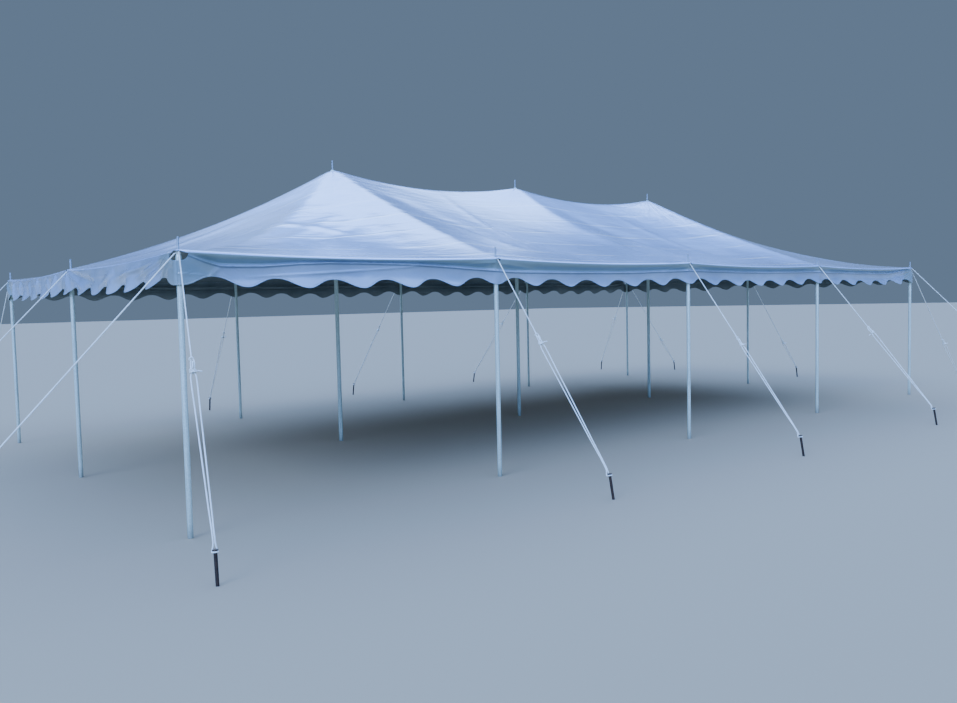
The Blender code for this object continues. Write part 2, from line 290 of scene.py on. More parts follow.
def film_heights():
    """Heights of the stretched film, worked out on finer and finer grids up to CELLS in a bay."""
    cells, height = COARSEST, None
    while True:
        across, deep = 4 * cells + 1, 2 * cells + 1
        if height is None:
            height = np.full((across, deep), (EAVE + PEAK) / 2)
        else:
            finer = np.zeros((across, deep))
            finer[::2, ::2] = height
            finer[1::2, ::2] = (height[:-1] + height[1:]) / 2
            finer[:, 1::2] = (finer[:, :-1:2] + finer[:, 2::2]) / 2
            height = finer
        free = np.ones((across, deep), bool)
        step = BAY / cells
        for i in range(across):
            for j in range(deep):
                sewn = sewn_height(i * step - HALF_LONG, j * step - HALF_WIDE, step / 4)
                if sewn is not None:
                    height[i, j], free[i, j] = sewn, False
        weight = 8 * PANEL_SAG / cells**2
        inner = free[1:-1, 1:-1]
        for _ in range(FILM_ROUNDS):
            height[1:-1, 1:-1][inner] = neighbour_mean(height)[inner] - weight
        if cells == CELLS:
            return height
        cells *= 2


def soften(height):
    """Rounds off the sewn lines a little, and leaves the eaves where they are."""
    for _ in range(SOFTEN_ROUNDS):
        height[1:-1, 1:-1] += (neighbour_mean(height) - height[1:-1, 1:-1]) * 0.5
    return height


def stroke(x, y, start, end, width):
    """A soft ridge of height 1 along a line from start to end, which fades at both ends."""
    run = np.array(end) - np.array(start)
    length = math.hypot(*run)
    along = ((x - start[0]) * run[0] + (y - start[1]) * run[1]) / length**2
    across = ((x - start[0]) * run[1] - (y - start[1]) * run[0]) / length
    fade = np.clip(along, 0, 1) * np.clip(1 - along, 0, 1) * 4
    return np.exp(-((across / width) ** 2)) * np.sqrt(np.clip(fade, 0, 1))


# Wrinkles of the skin in plan: start, end, height and width
SKIN_WRINKLES = (
    ((-4.95, -2.20), (-3.75, -1.30), 0.012, 0.075),
    ((-4.80, -2.35), (-3.60, -1.60), -0.010, 0.080),
    ((-4.60, -1.35), (-3.95, -1.95), 0.008, 0.060),
    ((-5.60, -2.70), (-4.50, -2.10), 0.006, 0.070),
    ((-3.30, -0.50), (-3.70, -2.60), 0.010, 0.140),
    ((-2.70, -0.55), (-2.10, -2.50), -0.012, 0.200),
    ((-1.52, -0.10), (-1.95, -2.60), 0.006, 0.060),
    ((0.35, -0.60), (0.85, -2.50), -0.012, 0.220),
    ((1.60, -0.40), (1.40, -2.40), 0.006, 0.090),
    ((3.35, -0.50), (3.80, -2.30), -0.010, 0.180),
    ((4.20, -1.40), (5.30, -2.35), 0.008, 0.090),
    ((-5.00, 2.10), (-3.90, 1.30), 0.010, 0.080),
    ((4.90, 2.20), (3.80, 1.20), 0.010, 0.080),
    ((-1.40, 0.50), (-1.80, 2.50), 0.008, 0.090),
    ((1.50, 0.60), (1.20, 2.50), 0.008, 0.100),
    ((-5.40, -0.60), (-4.30, -0.35), 0.008, 0.080),
    ((5.30, 0.60), (4.20, 0.30), 0.008, 0.080),
)


def skin_lines(half):
    """The skin's grid lines across one way: the roll, the bays in equal cells, and the roll again."""
    count = round(2 * half / BAY) * CELLS
    inner = [k * BAY / CELLS - half for k in range(count + 1)]
    return [-half - out for out in reversed(ROLL_OUT)] + inner + [half + out for out in ROLL_OUT]


def rolled(line, lines):
    """How far past the pole line a grid line lies, and how far its roll drops."""
    past = len(ROLL_OUT)
    if past <= line < lines - past:
        return 0.0, 0.0
    step = past - 1 - line if line < past else line - (lines - past)
    return ROLL_OUT[step], ROLL_DROP[step]


def pole_nearness(place):
    """1 at a pole along an eave, falling to 0 a rope slot's width away."""
    return math.exp(-((off_pole(place) / POLE_REACH) ** 2))


def build_skin(finishes):
    heights = soften(film_heights())
    xs = np.linspace(-HALF_LONG, HALF_LONG, heights.shape[0])[:, None]
    ys = np.linspace(-HALF_WIDE, HALF_WIDE, heights.shape[1])[None, :]
    inside = np.clip((HALF_WIDE - abs(ys)) / UNWRINKLED, 0, 1)
    inside = inside * np.clip((HALF_LONG - abs(xs)) / UNWRINKLED, 0, 1)
    for start, end, rise, width in SKIN_WRINKLES:
        heights += rise * stroke(xs, ys, start, end, width) * inside
    x_lines, y_lines = skin_lines(HALF_LONG), skin_lines(HALF_WIDE)
    columns, rows = len(x_lines) - 1, len(y_lines) - 1
    past = len(ROLL_OUT)
    bm = bmesh.new()
    bmesh.ops.create_grid(bm, x_segments=columns, y_segments=rows, size=1.0)
    for vert in bm.verts:
        i = round((vert.co.x + 1) / 2 * columns)
        j = round((vert.co.y + 1) / 2 * rows)
        x, y = x_lines[i], y_lines[j]
        x_out, x_drop = rolled(i, len(x_lines))
        y_out, y_drop = rolled(j, len(y_lines))
        drop = max(x_drop, y_drop)
        if x_out and y_out:
            shrink = max(x_out, y_out) / math.hypot(x_out, y_out)
            x -= math.copysign(x_out * (1 - shrink), x)
            y -= math.copysign(y_out * (1 - shrink), y)
        if drop:
            near = max(pole_nearness(min(abs(x), HALF_LONG)) if y_out else 0.0,
                       pole_nearness(min(abs(y), HALF_WIDE)) if x_out else 0.0)
            drop -= max(drop - ROLL_DROP_AT_POLE, 0.0) * near
        row = min(max(i - past, 0), len(heights) - 1)
        column = min(max(j - past, 0), len(heights[0]) - 1)
        vert.co = (x, y, heights[row, column] - drop)
    # The hips run along the cells' diagonals, so the cells there are split along them
    cell = BAY / CELLS
    for face in list(bm.faces):
        middle = face.calc_center_median()
        if abs(abs(middle.x) - BAY - abs(middle.y)) < cell / 4 and abs(middle.x) < HALF_LONG:
            sign = 1 if middle.x * middle.y > 0 else -1
            ends = sorted(face.verts, key=lambda v: v.co.x + v.co.y * sign)
            bmesh.utils.face_split(face, ends[0], ends[-1])
    return finish_cloth(mesh_piece("vinyl_roof", bm), finishes, "roof_skin")


# Valance

# Where the fold that runs along each valance lies: place along the eave and depth
FRONT_FOLD = (
    (-6.15, 0.034), (-6.04, 0.036), (-5.91, 0.078), (-5.79, 0.108), (-5.45, 0.096), (-5.14, 0.066),
    (-4.87, 0.052), (-4.58, 0.050), (-4.20, 0.054), (-3.96, 0.062), (-3.60, 0.086), (-3.15, 0.124),
    (-3.05, 0.132), (-2.80, 0.134), (-2.49, 0.125), (-2.06, 0.118), (-1.60, 0.112), (-1.11, 0.110),
    (-0.58, 0.104), (0.00, 0.106), (0.61, 0.092), (1.27, 0.090), (1.99, 0.088), (2.78, 0.092),
    (3.05, 0.100), (3.30, 0.100), (3.64, 0.090), (4.59, 0.084), (5.00, 0.088), (5.35, 0.082),
    (5.75, 0.056), (6.04, 0.034), (6.15, 0.030),
)
BACK_FOLD = (
    (-6.15, 0.08), (-5.6, 0.11), (-4.2, 0.09), (-3.05, 0.13), (-1.6, 0.10), (0.0, 0.12), (1.4, 0.09),
    (3.05, 0.14), (4.6, 0.10), (5.8, 0.11), (6.15, 0.08),
)
END_FOLD = (
    (-3.1, 0.080), (-2.6, 0.100), (-1.4, 0.090), (0.0, 0.120), (0.4, 0.100), (1.6, 0.090),
    (2.7, 0.110), (3.1, 0.080),
)

# Folds of a valance: start and end as (along, depth), how far it stands out, width
FRONT_FOLDS = (
    ((-5.80, 0.115), (-5.88, 0.205), 0.010, 0.010),
    ((-6.13, 0.178), (-5.92, 0.184), 0.006, 0.006),
    ((-5.60, 0.185), (-4.55, 0.110), 0.008, 0.010),
    ((-5.10, 0.150), (-3.70, 0.055), 0.008, 0.010),
    ((-3.40, 0.062), (-3.02, 0.052), 0.010, 0.012),
    ((-3.05, 0.060), (-2.55, 0.095), 0.010, 0.014),
    ((-0.40, 0.080), (0.00, 0.055), 0.008, 0.012),
    ((0.02, 0.060), (0.45, 0.090), 0.009, 0.012),
    ((2.70, 0.075), (3.05, 0.055), 0.008, 0.012),
    ((3.07, 0.060), (3.60, 0.100), 0.010, 0.014),
    ((5.60, 0.110), (6.05, 0.055), 0.010, 0.014),
    ((5.80, 0.180), (6.06, 0.070), 0.008, 0.012),
)
LEFT_FOLDS = (
    ((3.03, 0.045), (2.72, 0.200), 0.020, 0.020),
    ((3.00, 0.042), (2.50, 0.190), 0.018, 0.018),
    ((2.96, 0.040), (2.15, 0.160), 0.016, 0.018),
    ((2.90, 0.038), (1.75, 0.120), 0.014, 0.016),
    ((2.30, 0.060), (1.50, 0.150), 0.012, 0.030),
    ((1.60, 0.070), (1.10, 0.190), 0.012, 0.030),
    ((0.06, 0.045), (0.60, 0.190), 0.022, 0.024),
    ((0.02, 0.046), (0.10, 0.240), 0.026, 0.022),
    ((0.10, 0.040), (1.00, 0.150), -0.014, 0.030),
    ((-0.04, 0.046), (-0.28, 0.220), 0.026, 0.022),
    ((-0.45, 0.040), (-0.55, 0.230), 0.024, 0.040),
    ((-0.85, 0.050), (-0.80, 0.240), 0.020, 0.040),
    ((-1.30, 0.040), (-1.38, 0.230), 0.030, 0.045),
    ((-1.75, 0.050), (-1.68, 0.230), 0.018, 0.035),
    ((-2.20, 0.040), (-2.28, 0.235), 0.030, 0.045),
    ((-2.62, 0.045), (-2.60, 0.230), 0.022, 0.035),
    ((-3.03, 0.045), (-2.85, 0.230), 0.022, 0.022),
)
BACK_FOLDS = (
    ((-6.04, 0.055), (-5.70, 0.150), 0.014, 0.014),
    ((-3.40, 0.120), (-3.05, 0.056), 0.010, 0.014),
    ((-3.03, 0.056), (-2.60, 0.130), 0.012, 0.014),
    ((-0.50, 0.140), (-0.02, 0.056), 0.010, 0.014),
    ((0.03, 0.056), (0.30, 0.200), 0.010, 0.018),
    ((2.60, 0.120), (3.03, 0.056), 0.012, 0.014),
    ((3.08, 0.056), (3.55, 0.140), 0.010, 0.014),
    ((5.70, 0.140), (6.05, 0.055), 0.014, 0.014),
)
RIGHT_FOLDS = (
    ((-3.03, 0.055), (-2.60, 0.170), 0.014, 0.018),
    ((-0.40, 0.150), (-0.03, 0.056), 0.012, 0.016),
    ((0.03, 0.056), (0.20, 0.220), 0.014, 0.020),
    ((1.20, 0.060), (1.28, 0.230), 0.010, 0.035),
    ((2.55, 0.160), (3.03, 0.055), 0.014, 0.018),
)


def valance_top(along, half):
    """Depth of the valance's upper edge, which dips round each rope, and wider round a corner's two."""
    corner = abs(abs(along) - half) < CORNER_REACH
    share = min(off_pole(along) / (CORNER_SLOT_HALF if corner else SLOT_HALF), 1.0)
    floor = CORNER_SLOT_FLOOR if corner else SLOT_FLOOR
    return VALANCE_TOP + (floor - VALANCE_TOP) * math.sqrt(max(1 - share**2, 0.0))


def valance_hem(along):
    """Depth of the scalloped hem: a tongue at each pole and five between."""
    wave = (0.5 + 0.5 * math.cos(2 * math.pi * along / SCALLOP)) ** 1.2
    return SCALLOP_HIGH + (SCALLOP_LOW - SCALLOP_HIGH) * wave


def valance_out(depth, fold, hollow, relief):
    """How far past the pole line the cloth hangs: tucked in above its fold, swung out again at its hem."""
    above = np.clip((depth - VALANCE_TOP) / (fold - VALANCE_TOP), 0, 1)
    tucked = hollow * np.sin(np.pi * above**2 / 1.15) ** 1.2
    below = np.clip(depth - fold, 0, None)
    ridge = FOLD_RIDGE * np.exp(-(((depth - fold) / FOLD_WIDTH) ** 2))
    swung = 3.7 * below**2 - 0.54 * below
    return VALANCE_OUT - tucked + relief * (ridge + swung)


def build_valance(side, half, offset, quarters, fold_line, folds, hollow, relief, flare, waves, finishes):
    """A strip that hangs from one side's eave and meets its neighbours in the middle of each corner."""
    corner = math.pi / 4 * CORNER_ROUND
    count = round(2 * (half + corner) / VALANCE_STEP)
    places = np.linspace(-half - corner, half + corner, count + 1)
    clamped = np.clip(places, -half, half)
    tops, hems, sags = np.array([
        (valance_top(place, half), valance_hem(place), hang(((place + half) / BAY) % 1.0, EAVE_SAG))
        for place in clamped.tolist()
    ]).T
    depth = tops[:, None] + (hems - tops)[:, None] * np.linspace(0, 1, VALANCE_ROWS + 1)
    along = places[:, None] * np.ones_like(depth)
    fold = np.interp(places, *zip(*fold_line))[:, None]
    off = off_pole(clamped)[:, None]
    near_pole = np.exp(-((off / NEAR_POLE) ** 2))
    # Two strips meet at a corner, so there each hangs plain
    loose = 1 - np.exp(-(((half - abs(clamped)) / NEAR_CORNER) ** 2))[:, None]
    out = valance_out(
        depth, fold, hollow * (1 - 0.6 * near_pole) * loose, relief * (1 - 0.3 * near_pole) * loose)
    swing = np.cos(2 * math.pi * (along / SCALLOP + 0.04))
    out += loose * flare * (depth / SCALLOP_LOW) ** 2 * swing
    for start, end, stand, width in folds:
        out += stand * stroke(along, depth, start, end, width)
    lower = loose * np.clip((depth - 0.05) / 0.2, 0, 1)
    for length, size, phase in waves:
        out += size * lower * np.sin(2 * np.pi * along / length + phase)
    # Round a pole the cloth is kept off the tube; between poles it may tuck in
    at_pole = np.exp(-((off / NEAR_TUBE) ** 4))
    out = np.maximum(out, OFF_TUBE * at_pole - TUCK_IN * (1 - at_pole))

    bm = bmesh.new()
    bmesh.ops.create_grid(bm, x_segments=count, y_segments=VALANCE_ROWS, size=1.0)
    uv = bm.loops.layers.uv.new("UVMap")
    # Painted shade: the band above a sharp fold, which faces down, is coloured grey for its shade; beside
    # each corner the cloth is coloured greyer as well
    sharp = relief > 0.5
    fold_shade_and_corner_grey = np.clip((fold - depth) / FOLD_SHADE_FADE, 0, 1) ** 2 * sharp
    corner_piece = np.clip((abs(along) - half + CORNER_PIECE) / CORNER_FADE, 0, 1)
    fold_shade_and_corner_grey = np.maximum(fold_shade_and_corner_grey, CORNER_GREY * corner_piece)
    past_fold = bm.verts.layers.float.new("past_fold")
    shade_and_grey_layer = bm.verts.layers.float.new("fold_shade_and_corner_grey")
    spots = {}
    for vert in bm.verts:
        i = round((vert.co.x + 1) / 2 * count)
        j = VALANCE_ROWS - round((vert.co.y + 1) / 2 * VALANCE_ROWS)
        down, reach = depth[i, j], out[i, j]
        spots[vert] = (places[i], hems[i] - down)
        vert[past_fold] = down - fold[i, 0] if sharp else NO_FOLD
        vert[shade_and_grey_layer] = fold_shade_and_corner_grey[i, j]
        angle = (places[i] - clamped[i]) / CORNER_ROUND
        vert.co = (clamped[i] + reach * math.sin(angle), -offset - reach * math.cos(angle),
                   EAVE - sags[i] - down)
    for face in bm.faces:
        for loop in face.loops:
            loop[uv].uv = spots[loop.vert]
    turn = quarters * math.pi / 2
    bmesh.ops.transform(bm, matrix=Matrix.Rotation(turn, 4, "Z"), verts=bm.verts)
    bmesh.ops.recalc_face_normals(bm, faces=bm.faces)
    strip = mesh_piece(f"vinyl_valance_{side}", bm)
    outwards = Vector((math.sin(turn), -math.cos(turn), 0.0))
    if sum((polygon.normal for polygon in strip.data.polygons), Vector()).dot(outwards) < 0:
        strip.data.flip_normals()
    return finish_cloth(strip, finishes, f"valance_{side}")


# Poles

def spun(profile, steps):
    """A shape turned round from (radius, height) pairs that run from its top to its foot."""
    bm = bmesh.new()
    verts = [bm.verts.new((radius, 0.0, height)) for radius, height in profile]
    edges = [bm.edges.new(pair) for pair in zip(verts, verts[1:])]
    bmesh.ops.spin(bm, geom=verts + edges, cent=(0, 0, 0), axis=(0, 0, 1), angle=2 * math.pi,
                   steps=steps, use_merge=True)
    bmesh.ops.remove_doubles(bm, verts=bm.verts, dist=MERGED)
    return bm


def build_pole(node, place, radius, shoulder, finishes):
    """A tube with a crimped plug at its head, a welded pin, and a worn rim at its foot."""
    pin_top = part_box(node)[1][2]
    bm = spun((
        (0.0, pin_top),
        (PIN * 0.55, pin_top),
        (PIN * 0.9, pin_top - 0.0015),
        (PIN, pin_top - 0.005),
        (PIN, shoulder + 0.004),
        (PIN + 0.002, shoulder + 0.001),
        (PIN + 0.004, shoulder),
        (radius * 0.70, shoulder - 0.001),
        (radius * 0.86, shoulder - 0.005),
        (radius * 0.93, shoulder - 0.012),
        (radius, shoulder - 0.025),
        (radius, shoulder - 0.060),
        (radius, 1.0),
        (radius, 0.004),
        (radius - 0.002, 0.0),
        (0.0, 0.0),
    ), POLE_STEPS)
    bmesh.ops.translate(bm, vec=(*place, 0.0), verts=bm.verts)
    mark_hard_edges(bm, POLE_EDGE)
    tube, pin = finishes
    pole = finish_piece(mesh_piece(f"tube_{node}", bm), tube, node)
    pole.data.materials.append(pin)
    for polygon in pole.data.polygons:
        polygon.material_index = int(polygon.center.z > shoulder)


# Ropes and stakes

def stake_frame(foot, pole):
    """Unit vectors of a stake: towards its pole, sideways, and up its leaning shank."""
    towards = Vector((pole[0] - foot[0], pole[1] - foot[1], 0.0)).normalized()
    side = Vector((0, 0, 1)).cross(towards)
    up = Vector((0, 0, math.cos(STAKE_LEAN))) + towards * math.sin(STAKE_LEAN)
    return side.cross(up), side, up


def build_stake(label, foot, pole, material):
    """A forged pin with a hammered, slightly mushroomed head, cut off level with the ground."""
    bm = spun((
        (0.0, STAKE_HEIGHT),
        (STAKE_HEAD * 0.60, STAKE_HEIGHT - 0.0005),
        (STAKE_HEAD * 0.88, STAKE_HEIGHT - 0.0025),
        (STAKE_HEAD, STAKE_HEIGHT - 0.006),
        (STAKE_HEAD * 0.97, STAKE_HEIGHT - 0.010),
        (STAKE_HEAD * 0.80, STAKE_HEIGHT - 0.0138),
        (STAKE * 1.02, STAKE_HEIGHT - STAKE_HEAD_HEIGHT),
        (STAKE, STAKE_HEIGHT - 0.020),
        (STAKE, STAKE_HEIGHT - 0.120),
        (STAKE * 0.97, STAKE_HEIGHT - 0.180),
        (STAKE, -STAKE_BURIED),
        (0.0, -STAKE_BURIED),
    ), STAKE_STEPS)
    turn = Matrix(stake_frame(foot, pole)).transposed().to_4x4()
    bmesh.ops.transform(bm, matrix=Matrix.Translation((*foot, 0.0)) @ turn, verts=bm.verts)
    whole = bm.verts[:] + bm.edges[:] + bm.faces[:]
    cut = bmesh.ops.bisect_plane(bm, geom=whole, plane_co=(0, 0, 0), plane_no=(0, 0, -1), clear_outer=True)
    rim = [edge for edge in cut["geom_cut"] if isinstance(edge, bmesh.types.BMEdge)]
    bmesh.ops.holes_fill(bm, edges=rim, sides=0)
    mark_hard_edges(bm, STAKE_EDGE)
    finish_piece(mesh_piece(f"forged_stake_{label}", bm), material, f"stake_{label}")


# A hitch, as places down the rope from its loop, to one side and proud of it
STANDING_HITCH = (
    (-0.020, 0.0, 0.0), (0.030, -0.008, 0.0), (0.080, -0.010, 0.0), (0.105, -0.011, 0.0),
    (0.145, -0.019, 0.0),
)
# Back up beside it, once round at the loop, then down again between the two strands
RETURNING_HITCH = (
    (0.145, 0.019, 0.0), (0.105, 0.011, 0.0), (0.080, 0.012, 0.0), (0.035, 0.016, 0.0),
    (0.008, 0.013, 0.0), (-0.006, 0.004, 0.012), (-0.004, -0.010, 0.008), (0.003, -0.014, -0.003),
    (0.010, -0.004, -0.012), (0.018, 0.008, -0.009), (0.032, 0.003, 0.009), (0.065, 0.001, 0.011),
    (0.079, -0.012, 0.012),
)
# Wrapped round both, and the tail tucked out sideways
WRAP_FROM = 0.085
WRAP_PITCH = 0.011
WRAP_ASIDE = 0.0205
WRAP_PROUD = 0.0135
TAIL = ((0.107, -0.010, 0.015), (0.105, 0.012, 0.017), (0.101, 0.034, 0.013), (0.103, 0.058, 0.008))


def rope_path(pole, foot, height, hitch_at, hand, roll):
    """One line: eye over the pin, out through the valance, round the stake, up to the hitch and tail."""
    reach = Vector((foot[0] - pole[0], foot[1] - pole[1], 0.0)).normalized()
    heading = math.atan2(reach.y, reach.x) + EYE_OPEN
    centre = Vector((*pole, height))
    points = []
    for step in range(EYE_POINTS + 1):
        angle = heading + EYE_TURN * step / EYE_POINTS
        points.append(centre + (PIN + FIT + ROPE) * Vector((math.cos(angle), math.sin(angle), 0.0)))
    lip = centre + reach * LIP_REACH - Vector((0, 0, LIP_DROP))

    towards, side, up = stake_frame(foot, pole)
    side *= hand
    hook = Vector((*foot, 0.0)) + up * (STAKE_HEIGHT - STAKE_HEAD_HEIGHT - FIT - ROPE)
    turn = []
    for step in range(TURN_POINTS + 1):
        angle = -math.pi / 2 - math.pi * step / TURN_POINTS
        turn.append(hook + (STAKE + FIT + ROPE) * (towards * math.cos(angle) + side * math.sin(angle)))
    clear = towards * STAKE_HEAD
    neck = hook + (lip - hook).normalized() * LOOP_LENGTH
    lead_in, lead_out = neck - side * (LOOP_NECK / 2), neck + side * (LOOP_NECK / 2)

    down = (lead_in - lip).normalized()
    level = (side - down * side.dot(down)).normalized()
    above = level.cross(down)
    if above.z < 0:
        above.negate()
    across = level * math.cos(roll) + above * math.sin(roll)
    out = down.cross(across)
    top = lip.lerp(lead_in, hitch_at)

    def hitch(spots):
        """The points of a hitch, from places given as in the tables above."""
        return [top + down * along + across * aside + out * proud for along, aside, proud in spots]

    wrap = []
    for step in range(2 * WRAP_POINTS + 1):
        angle = math.pi + 2 * math.pi * step / WRAP_POINTS
        wrap.append((WRAP_FROM + WRAP_PITCH * step / WRAP_POINTS, WRAP_ASIDE * math.cos(angle),
                     -WRAP_PROUD * math.sin(angle)))
    standing, returning = hitch(STANDING_HITCH), hitch(RETURNING_HITCH)
    points += [centre + reach * LIP_START, lip] + [lip.lerp(top, share) for share in (0.15, 0.5, 0.85)]
    points += standing + [standing[-1].lerp(lead_in, share) for share in (0.2, 0.5, 0.8)]
    points += [lead_in, turn[0] + clear] + turn + [turn[-1] + clear, lead_out]
    points += [lead_out.lerp(returning[0], share) for share in (0.2, 0.5, 0.8)] + returning
    return points + hitch(wrap) + hitch(TAIL)


def build_rope(label, path, material):
    """A braided rope, swept round along its line and made a mesh with its own UV map."""
    curve = bpy.data.curves.new(label, "CURVE")
    curve.dimensions = "3D"
    curve.bevel_depth = ROPE
    curve.bevel_resolution = 3
    curve.use_fill_caps = True
    curve.resolution_u = 3
    spline = curve.splines.new("BEZIER")
    spline.bezier_points.add(len(path) - 1)
    for i, (point, place) in enumerate(zip(spline.bezier_points, path)):
        before, after = path[max(i - 1, 0)], path[min(i + 1, len(path) - 1)]
        way = (after - before).normalized()
        point.co = place
        point.handle_left = place - way * (place - before).length / 3
        point.handle_right = place + way * (after - place).length / 3
    source = add_object(label, curve)
    graph = bpy.context.evaluated_depsgraph_get()
    mesh = bpy.data.meshes.new_from_object(
        source.evaluated_get(graph), preserve_all_data_layers=True, depsgraph=graph)
    bpy.data.objects.remove(source, do_unlink=True)
    bpy.data.curves.remove(curve)
    finish_piece(add_object(f"braided_rope_{label}", mesh), material, f"guy_rope_{label}")


# Materials

def lining_material():
    """The coated cloth's back, which is white, coloured dark grey as painted shade for the inside of the
    tent; it has no lacquer and shows the scrim and old damp marks.
    """
    material, tree, shader = new_material("pvc_coated_polyester_back")
    place = add_node(tree, "TexCoord").outputs["Object"]
    damp = add_node(tree, "TexNoise", {"Vector": place, "Scale": 1.7, "Detail": 5.0, "Roughness": 0.6})
    # Painted shade: the dark grey ramp stands in for the shade inside the tent
    tint = add_node(tree, "ValToRGB", [damp], ((0.32, "#6C7777"), (0.70, "#878F8D")))
    scrim = add_node(tree, "TexNoise", {"Vector": place, "Scale": SCRIM_SCALE, "Detail": 1.0})
    bump = add_node(tree, "Bump", {"Height": scrim, "Strength": 0.4, "Distance": 0.0006})
    feed(tree, shader, {"Base Color": tint, "Normal": bump, "Roughness": 0.62, "IOR": 1.50})
    return material


def valance_marks(tree, place, colour, bumps):
    """What a valance shows besides: its stitched hem, patches, painted shade above and below its fold, grey
    beside each corner, and dirt.
    """
    up_hem = add_node(tree, "SeparateXYZ", [place]).outputs["Y"]
    # Double stitched hem, a little up from the scallops' edge
    stitch = add_node(tree, "Math", (up_hem, HEM_STITCH), operation="SUBTRACT")
    stitch = add_node(tree, "Math", [stitch], operation="ABSOLUTE")
    bumps.append((add_node(tree, "MapRange", (stitch, 0.0, 0.0035, 1.0, 0.0)), -0.6))
    # Weathered patches, greyer than the rest
    patch = add_node(tree, "TexNoise", {"Vector": place, "Scale": 5.0, "Detail": 5.0, "Roughness": 0.65})
    patch = add_node(tree, "MapRange", (patch, 0.48, 0.66, 0.0, 0.4))
    # The band above the fold is coloured grey as painted shade, and a dark line just below the fold is
    # painted shade in its groove
    fold_shade_and_corner_grey = add_node(tree, "Attribute", attribute_name="fold_shade_and_corner_grey").outputs["Fac"]
    fold_shade_and_corner_grey = add_node(tree, "Math", (fold_shade_and_corner_grey, 0.9), operation="MULTIPLY")
    fold = add_node(tree, "Attribute", attribute_name="past_fold").outputs["Fac"]
    fold_shade_line = add_node(tree, "Math", (fold, SHADE_LINE_PAST_FOLD), operation="SUBTRACT")
    fold_shade_line = add_node(tree, "Math", [fold_shade_line], operation="ABSOLUTE")
    fold_shade_line = add_node(tree, "MapRange", (fold_shade_line, 0.002, 0.010, 0.65, 0.0))
    soiled = add_node(tree, "TexNoise", {"Vector": place, "Scale": 14.0, "Detail": 4.0})
    edge = add_node(tree, "MapRange", (up_hem, 0.0, 0.10, 0.35, 0.0))
    dirt = add_node(tree, "Math", (soiled, edge), operation="MULTIPLY")
    # The patches and dirt are the cloth's own colour; the grey band and the dark line are painted shade
    for share, code in ((patch, "#8CA0AF"), (fold_shade_and_corner_grey, "#77877F"), (fold_shade_line, "#465866"), (dirt, "#B9C0C2")):
        colour = add_node(tree, "Mix", {0: share, 6: colour, 7: linear(code)}, data_type="RGBA")
    return colour


# Lines along which the roof was folded, as bumps broken into pale dashes of painted glint: distance from
# the ridge, strength and half the width
ROOF_LINES = (
    (2.93, 1.0, 0.040), (2.56, 0.9, 0.040), (2.02, 0.8, 0.035), (1.52, 1.0, 0.045), (1.05, 0.6, 0.035),
    (0.55, 0.6, 0.035),
)


